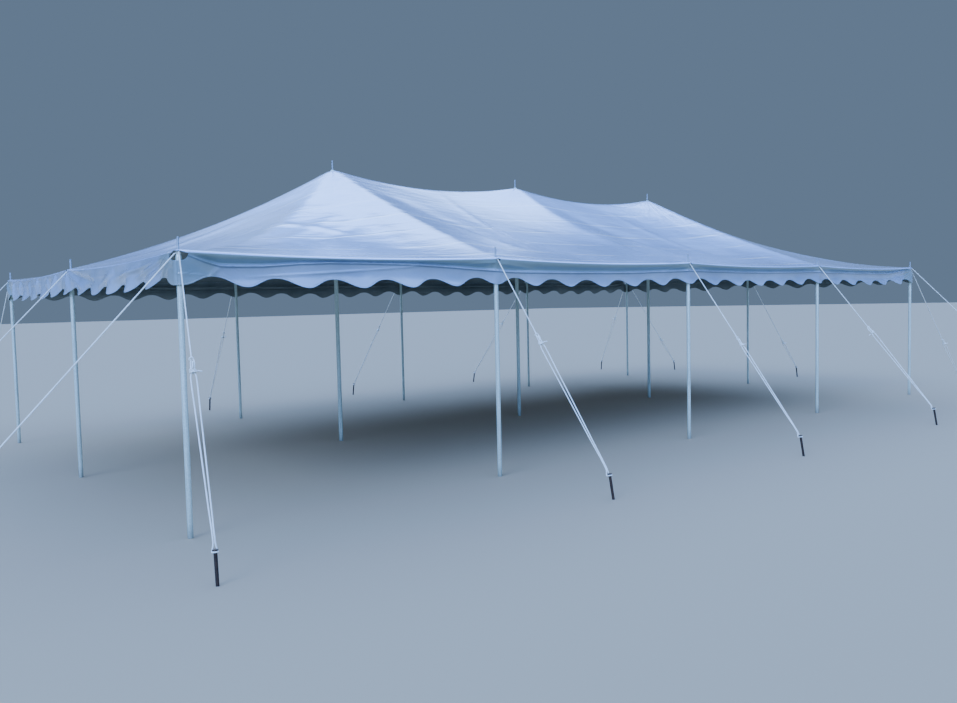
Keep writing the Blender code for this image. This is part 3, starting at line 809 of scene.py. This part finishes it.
def roof_marks(tree, place, colour, bumps):
    """What the roof shows besides: lines along which it was folded, with painted glints, fans of creases
    with painted light and shade, and discs.
    """
    apart = add_node(tree, "SeparateXYZ", [place])
    x, y = apart.outputs["X"], apart.outputs["Y"]
    # Panels are welded lengthwise, and the skin keeps the lines along which it was folded; the lines are
    # real bumps, and their pale, broken dashes are painted glints
    waver = add_node(tree, "TexNoise", {"Vector": place, "Scale": 0.7, "Detail": 2.0})
    shift = add_node(tree, "Math", (waver, 0.10, -0.05), operation="MULTIPLY_ADD")
    across = add_node(tree, "Math", [y], operation="ABSOLUTE")
    across = add_node(tree, "Math", (across, shift), operation="ADD")
    for spot, strength, half in ROOF_LINES:
        off = add_node(tree, "Math", (across, spot), operation="SUBTRACT")
        off = add_node(tree, "Math", [off], operation="ABSOLUTE")
        line = add_node(tree, "MapRange", (off, 0.0, half, 1.0, 0.0), interpolation_type="SMOOTHSTEP")
        moved = {"Vector": place, "Location": (spot * 7, spot * 3, 0.0), "Scale": (0.8, 2.0, 0.0)}
        moved = add_node(tree, "Mapping", moved)
        broken = add_node(tree, "TexNoise", {"Vector": moved, "Scale": 1.3, "Detail": 2.0})
        shown = add_node(tree, "MapRange", (broken, 0.42, 0.56, 0.15, 1.0))
        faint = add_node(tree, "Math", (line, shown), operation="MULTIPLY")
        bumps.append((faint, strength))
        # Painted glint: the same dashes are mixed towards near-white in the colour
        pale = add_node(tree, "Math", (faint, strength), operation="MULTIPLY")
        colour = add_node(tree, "Mix", {0: pale, 6: colour, 7: linear("#F4F9FF")}, data_type="RGBA")
    # Fine creases fan out from every pole's eyelet
    local_x = add_node(tree, "Math", (x, BAY / 2, -BAY / 2), operation="WRAP")
    local_y = add_node(tree, "Math", (y, BAY / 2, -BAY / 2), operation="WRAP")
    angle = add_node(tree, "Math", (local_y, local_x), operation="ARCTAN2")
    distance = add_node(tree, "CombineXYZ", (local_x, local_y))
    distance = add_node(tree, "VectorMath", [distance], operation="LENGTH")
    cell = add_node(tree, "Math", (x, BAY / 2), operation="ADD")
    cell = add_node(tree, "Math", (cell, BAY), operation="SNAP")
    seed = add_node(tree, "Math", (angle, 4.0, cell), operation="MULTIPLY_ADD")
    fan = add_node(tree, "CombineXYZ", (seed, distance))
    fan = add_node(tree, "TexNoise", {"Vector": fan, "Scale": 2.2, "Detail": 3.0, "Roughness": 0.6})
    fade = add_node(tree, "MapRange", (distance, 0.05, 1.40, 1.0, 0.0))
    # They are strongest at the third peak, where they show as dark streaks of painted shade and pale
    # streaks of painted highlight
    third = add_node(tree, "CombineXYZ", (x, y))
    third = add_node(tree, "VectorMath", (third, (BAY, 0.0, 0.0)), operation="DISTANCE")
    third = add_node(tree, "MapRange", (third, 1.2, 1.6, 1.0, 0.2))
    fade = add_node(tree, "Math", (fade, third), operation="MULTIPLY")
    bumps.append((add_node(tree, "Math", (fan, fade), operation="MULTIPLY"), 5.0))
    # Painted shade and painted highlight along the creases, as dark and pale streaks in the colour
    for low, high, most, code in ((0.50, 0.60, 0.80, "#7C93B8"), (0.47, 0.40, 0.50, "#E6EEF8")):
        streak = add_node(tree, "MapRange", (fan, low, high, 0.0, most))
        streak = add_node(tree, "Math", (streak, fade), operation="MULTIPLY")
        colour = add_node(tree, "Mix", {0: streak, 6: colour, 7: linear(code)}, data_type="RGBA")
    # A welded disc strengthens each eyelet
    bumps.append((add_node(tree, "MapRange", (distance, DISC, DISC + 0.004, 1.0, 0.0)), 0.7))
    return colour


def vinyl_material(name, hung):
    """PVC-coated polyester, white, with the sky's blue light painted into its colour and blotches of random
    tone and painted sheen; smooth and glossy, creased from being folded.
    """
    material, tree, shader = new_material(name)
    place = add_node(tree, "TexCoord").outputs["UV" if hung else "Object"]
    # Broad blotches of tone, partly random and partly painted sheen
    dust_and_sheen = add_node(tree, "TexNoise", {"Vector": place, "Scale": 0.9, "Detail": 3.0, "Roughness": 0.5})
    # Painted light: the cloth is white, but its colour is tinted with the sky's blue light, and the valance
    # gets a darker copy of the roof's tint as painted shade
    low, high = ("#8698B0", "#A0B2CA") if hung else ("#A9C2E7", "#BDD6F9")
    tint = add_node(tree, "ValToRGB", [dust_and_sheen], ((0.36, low), (0.66, high)))
    bumps = []
    colour = (valance_marks if hung else roof_marks)(tree, place, tint, bumps)
    # Slack wrinkles, drawn longer one way than the other
    slack = add_node(tree, "Mapping", {"Vector": place, "Scale": (1.0, 2.2, 1.0)})
    slack = add_node(tree, "TexNoise", {"Vector": slack, "Scale": 3.0 if hung else 1.7, "Detail": 5.0,
                                        "Roughness": 0.55, "Distortion": 0.4})
    scrim = add_node(tree, "TexNoise", {"Vector": place, "Scale": SCRIM_SCALE, "Detail": 1.0})
    total = 0.0
    for height, size in (*bumps, (slack, 4.5 if hung else 5.5), (scrim, 0.10)):
        total = add_node(tree, "Math", (height, size, total), operation="MULTIPLY_ADD")
    bump = add_node(tree, "Bump", {"Height": total, "Strength": 1.0, "Distance": 0.002})
    gloss = add_node(tree, "MapRange", (dust_and_sheen, 0.3, 0.7, 0.18, 0.27))
    feed(tree, shader, {"Base Color": colour, "Normal": bump, "Roughness": gloss, "IOR": 1.53})
    # A clear acrylic lacquer over the PVC
    feed(tree, shader, {"Coat Weight": 1.0, "Coat Roughness": 0.12, "Coat IOR": 1.49, "Coat Normal": bump})
    return material


def tube_material():
    """Hot-dip galvanised steel tube: dull zinc with faint spangle, drawn streaks and a soiled foot."""
    material, tree, shader = new_material("galvanised_steel_tube")
    place = add_node(tree, "TexCoord").outputs["Object"]
    spangle = add_node(tree, "TexVoronoi", {"Vector": place, "Scale": 90.0})
    drawn = add_node(tree, "Mapping", {"Vector": place, "Scale": (60.0, 60.0, 1.2)})
    streak = add_node(tree, "TexNoise", {"Vector": drawn, "Scale": 3.0, "Detail": 3.0})
    mottle = add_node(tree, "Mix", {0: 0.25, 2: streak, 3: spangle})
    tone = add_node(tree, "ValToRGB", [mottle], ((0.30, "#B6C7BD"), (0.70, "#DEEEE3")))
    height = add_node(tree, "SeparateXYZ", [place]).outputs["Z"]
    foot = add_node(tree, "MapRange", (height, 0.0, 0.12, 0.55, 0.0))
    colour = add_node(tree, "Mix", {0: foot, 6: tone, 7: linear("#6E6A5C")}, data_type="RGBA")
    rough = add_node(tree, "MapRange", (mottle, 0.2, 0.8, 0.34, 0.52))
    bump = add_node(tree, "Bump", {"Height": mottle, "Strength": 0.25, "Distance": 0.0004})
    feed(tree, shader, {"Base Color": colour, "Normal": bump, "Roughness": rough, "Metallic": 0.35})
    return material


def pin_material():
    """Bright-drawn steel rod, gone dull and grey outdoors; turned smooth, with fine rings."""
    material, tree, shader = new_material("weathered_steel_pin")
    place = add_node(tree, "TexCoord").outputs["Object"]
    rings = add_node(tree, "Mapping", {"Vector": place, "Scale": (8.0, 8.0, 120.0)})
    rings = add_node(tree, "TexNoise", {"Vector": rings, "Scale": 4.0, "Detail": 3.0})
    tone = add_node(tree, "ValToRGB", [rings], ((0.30, "#727E88"), (0.72, "#A2AEB7")))
    bump = add_node(tree, "Bump", {"Height": rings, "Strength": 0.3, "Distance": 0.0003})
    feed(tree, shader, {"Base Color": tone, "Normal": bump, "Roughness": 0.45, "Metallic": 0.4})
    return material


def rope_material():
    """Braided polyester cord, off-white and matt; its strands cross in small diamonds."""
    material, tree, shader = new_material("braided_polyester_rope")
    place = add_node(tree, "TexCoord").outputs["Object"]
    strands = add_node(tree, "TexWave", {"Vector": place, "Scale": 70.0, "Distortion": 1.5, "Detail": 1.0},
                       wave_type="BANDS", bands_direction="DIAGONAL").outputs["Fac"]
    soil = add_node(tree, "TexNoise", {"Vector": place, "Scale": 9.0, "Detail": 4.0})
    tone = add_node(tree, "ValToRGB", [soil], ((0.32, "#ECEADE"), (0.70, "#FFFFF4")))
    shade = add_node(tree, "Math", (strands, -0.25, 0.25), operation="MULTIPLY_ADD")
    colour = add_node(tree, "Mix", {0: shade, 6: tone, 7: linear("#8E938F")}, data_type="RGBA")
    bump = add_node(tree, "Bump", {"Height": strands, "Strength": 0.6, "Distance": 0.0006})
    feed(tree, shader, {"Base Color": colour, "Normal": bump, "Roughness": 0.85})
    return material


def stake_material():
    """Forged steel bar with dark rust, scuffed to bare tan metal on the hammered head."""
    material, tree, shader = new_material("forged_rusty_steel")
    place = add_node(tree, "TexCoord").outputs["Object"]
    rust = add_node(tree, "TexNoise", {"Vector": place, "Scale": 60.0, "Detail": 6.0, "Roughness": 0.65})
    tone = add_node(tree, "ValToRGB", [rust], ((0.35, "#1E1815"), (0.72, "#4E3324")))
    height = add_node(tree, "SeparateXYZ", [place]).outputs["Z"]
    head = add_node(tree, "MapRange", (height, STAKE_HEIGHT - 0.012, STAKE_HEIGHT - 0.002, 0.0, 0.7))
    colour = add_node(tree, "Mix", {0: head, 6: tone, 7: linear("#8A7058")}, data_type="RGBA")
    bump = add_node(tree, "Bump", {"Height": rust, "Strength": 0.6, "Distance": 0.001})
    feed(tree, shader, {"Base Color": colour, "Normal": bump, "Roughness": 0.72, "Metallic": 0.35})
    return material


def floor_material():
    """Plain pale studio floor, matt."""
    material, tree, shader = new_material("matt_painted_floor")
    feed(tree, shader, {"Base Color": linear("#B59B7C"), "Roughness": 0.9})
    return material


# Where everything stands

def side_pole_places():
    """Name and place of each side pole, and where each of its ropes meets the ground."""
    places = {}
    for bay in range(5):
        x = bay * BAY - HALF_LONG
        x_way = math.copysign(1, x)
        for side, way in (("front", -1), ("back", 1)):
            y = way * HALF_WIDE
            if bay in (0, 4):
                right = int(x > 0)
                feet = {
                    "_side": (x + x_way * CORNER_SPLAY[right], y + way * CORNER_GUY_OUT[right]),
                    "_end": (x + x_way * END_GUY_OUT, y + way * CORNER_END_SPLAY),
                }
            else:
                feet = {"": (x + SIDE_GUY_ASIDE[bay - 1], y + way * SIDE_GUY_OUT[bay - 1])}
            places[f"{side}_{bay + 1}"] = ((x, y), feet)
    places["left_end_1"] = ((-HALF_LONG, 0.0), {"": (-HALF_LONG - END_GUY_OUT, 0.0)})
    places["right_end_1"] = ((HALF_LONG, 0.0), {"": (HALF_LONG + END_GUY_OUT, 0.0)})
    return places


# The nearest hitches: the side of the second strand, its turn round the rope, and the share of the way
HITCH_LAYS = {
    "front_1_side": (-1, 0.0, 0.405),
    "front_2": (-1, math.radians(35), 0.385),
    "front_3": (-1, math.radians(10), 0.470),
    "front_4": (1, math.radians(-70), 0.460),
    "front_5_side": (-1, HITCH_ROLL, 0.500),
    "front_5_end": (1, HITCH_ROLL, 0.660),
}

# Waves of a valance's lower half: length, size and phase
LONG_WAVES = ((0.9, 0.004, 0.4), (0.37, 0.002, 1.0))
END_WAVES = ((0.62, 0.008, 0.2), (0.29, 0.004, 1.3))

# Each valance: half its length, its distance, its turn in quarters, its fold line and folds, the hollow
# above the fold, the fold's relief, the scallops' flare, its waves, and the depth it was cut to
VALANCES = {
    "front": (HALF_LONG, HALF_WIDE, 0, FRONT_FOLD, FRONT_FOLDS, 0.042, 1.0, 0.003, LONG_WAVES, 0.300),
    "back": (HALF_LONG, HALF_WIDE, 2, BACK_FOLD, BACK_FOLDS, 0.036, 1.0, 0.003, LONG_WAVES, 0.285),
    "right": (HALF_WIDE, HALF_LONG, 1, END_FOLD, RIGHT_FOLDS, 0.012, 0.4, 0.015, END_WAVES, 0.262),
    "left": (HALF_WIDE, HALF_LONG, -1, END_FOLD, LEFT_FOLDS, 0.000, 0.1, 0.034, END_WAVES, 0.262),
}


def build_tent():
    roof_vinyl = vinyl_material("pvc_coated_polyester_roof", False)
    hung_vinyl = vinyl_material("pvc_coated_polyester_valance_painted_shade", True)
    lining = lining_material()
    tube = (tube_material(), pin_material())
    cord = rope_material()
    steel = stake_material()

    roof = build_skin((roof_vinyl, lining))
    for side, (half, *rest, cut) in VALANCES.items():
        strip = build_valance(side, half, *rest, (hung_vinyl, lining))

    for number in (1, 2, 3):
        place = ((number - 2) * BAY, 0.0)
        build_pole(f"centre_pole_{number}", place, CENTRE_POLE, PEAK - SHOULDER_DROP, tube)
    hand = 1
    for name, (place, feet) in side_pole_places().items():
        eye = EAVE - EYE_DROP
        for way, foot in feet.items():
            label = name + way
            build_stake(label, foot, place, steel)
            hitch_at = HITCH_AT if abs(foot[0]) < END_ROPE_FROM else END_HITCH_AT
            hand, roll, hitch_at = HITCH_LAYS.get(label, (-hand, HITCH_ROLL, hitch_at))
            build_rope(label, rope_path(place, foot, eye, hitch_at, hand, roll), cord)
            eye -= 2 * ROPE + FIT
        build_pole(f"side_pole_{name}", place, SIDE_POLE, eye + ROPE, tube)


def sky_light():
    """A soft sky, brighter on the camera's side, with two panels for the roof's gloss to show."""
    world = bpy.data.worlds.new("studio_sky")
    world.use_nodes = True
    tree = world.node_tree
    way = add_node(tree, "TexCoord").outputs["Generated"]
    apart = add_node(tree, "SeparateXYZ", [way])
    x, y, z = (apart.outputs[axis] for axis in "XYZ")
    # On the camera's side the sky is bright further down, which lights the ground under the tent
    near = add_node(tree, "VectorMath", (way, (-0.64, -0.77, 0.0)), operation="DOT_PRODUCT")
    near = add_node(tree, "Math", (near, 0.0), operation="MAXIMUM")
    near = add_node(tree, "Math", (near, near), operation="MULTIPLY")
    level = add_node(tree, "Math", (near, 0.50, z), operation="MULTIPLY_ADD")
    sky = add_node(tree, "ValToRGB", [level], (
        (0.0, "#4E5B6D"), (0.05, "#37424F"), (0.43, "#303B49"), (0.51, "#3A5070"), (0.62, "#80AFFF"),
        (0.74, "#80AFFF"), (1.0, "#5279C2")))
    power = add_node(tree, "Math", (near, 1.7, SKY_POWER), operation="MULTIPLY_ADD")
    lit = add_node(tree, "VectorMath", {0: sky, "Scale": power}, operation="SCALE")
    # A large white panel stands high on the far side; its lower edge comes further down in the middle
    far = add_node(tree, "VectorMath", (way, (0.62, 0.78, 0.0)), operation="DOT_PRODUCT")
    wide = add_node(tree, "MapRange", (far, 0.45, 0.68), interpolation_type="SMOOTHSTEP")
    aside = add_node(tree, "Math", (y, x), operation="ARCTAN2")
    aside = add_node(tree, "Math", (aside, 0.77), operation="SUBTRACT")
    aside = add_node(tree, "Math", [aside], operation="ABSOLUTE")
    middle = add_node(tree, "MapRange", (aside, 0.06, 0.22, 0.13, 0.0), interpolation_type="SMOOTHSTEP")
    high = add_node(tree, "Math", (z, middle), operation="ADD")
    high = add_node(tree, "MapRange", (high, 0.53, 0.65), interpolation_type="SMOOTHSTEP")
    large = add_node(tree, "Math", (wide, high), operation="MULTIPLY")
    # A small one beside it stands lower, and shows as a patch of sheen below the first peak
    small = add_node(tree, "VectorMath", (way, (0.3125, 0.8585, 0.4067)), operation="DOT_PRODUCT")
    small = add_node(tree, "MapRange", (small, 0.986, 0.998), interpolation_type="SMOOTHSTEP")
    panel = add_node(tree, "Math", (small, 0.33, large), operation="MULTIPLY_ADD")
    panel = add_node(tree, "Math", (panel, PANEL_POWER), operation="MULTIPLY")
    glow = add_node(tree, "VectorMath", {0: linear(PANEL_COLOUR)[:3], "Scale": panel}, operation="SCALE")
    both = add_node(tree, "VectorMath", (lit, glow), operation="ADD")
    # The panels stand out of the picture, so what shows behind the tent is a plain backdrop
    seen = add_node(tree, "LightPath").outputs["Is Camera Ray"]
    backdrop = [share * SKY_POWER for share in linear(BACKDROP)]
    shown = add_node(tree, "Mix", {0: seen, 6: both, 7: backdrop}, data_type="RGBA")
    feed(tree, tree.nodes["Background"], {"Color": shown, "Strength": 1.0})
    bpy.context.scene.world = world


def build_studio():
    """A plain pale floor, the sky, a soft light from the left, and the camera at the photograph's place."""
    bm = bmesh.new()
    bmesh.ops.create_grid(bm, x_segments=1, y_segments=1, size=FLOOR_HALF)
    floor = mesh_piece("studio_floor", bm)
    floor.data.materials.append(floor_material())
    sky_light()

    light = bpy.data.lights.new("soft_window", "SUN")
    light.angle = SUN_WIDTH
    light.energy = SUN_POWER
    light.color = linear(SUN_COLOUR)[:3]
    lamp = add_object("soft_window", light)
    lamp.rotation_euler = Vector(SUN_WAY).to_track_quat("-Z", "Y").to_euler()

    lens = bpy.data.cameras.new("photo_camera")
    lens.sensor_width = CAMERA_SENSOR
    lens.lens = CAMERA_LENS
    lens.clip_end = CAMERA_SEES
    camera = add_object("photo_camera", lens)
    yaw, pitch, roll = map(math.radians, CAMERA_TURN)
    forward = Vector((math.sin(yaw) * math.cos(pitch), math.cos(yaw) * math.cos(pitch), math.sin(pitch)))
    right = forward.cross(Vector((0, 0, 1))).normalized()
    above = right.cross(forward)
    turned_right = right * math.cos(roll) + above * math.sin(roll)
    turned_above = above * math.cos(roll) - right * math.sin(roll)
    axes = Matrix((turned_right, turned_above, -forward)).transposed().to_4x4()
    camera.matrix_world = Matrix.Translation(CAMERA_PLACE) @ axes
    bpy.context.scene.camera = camera


build_tent()
build_studio()
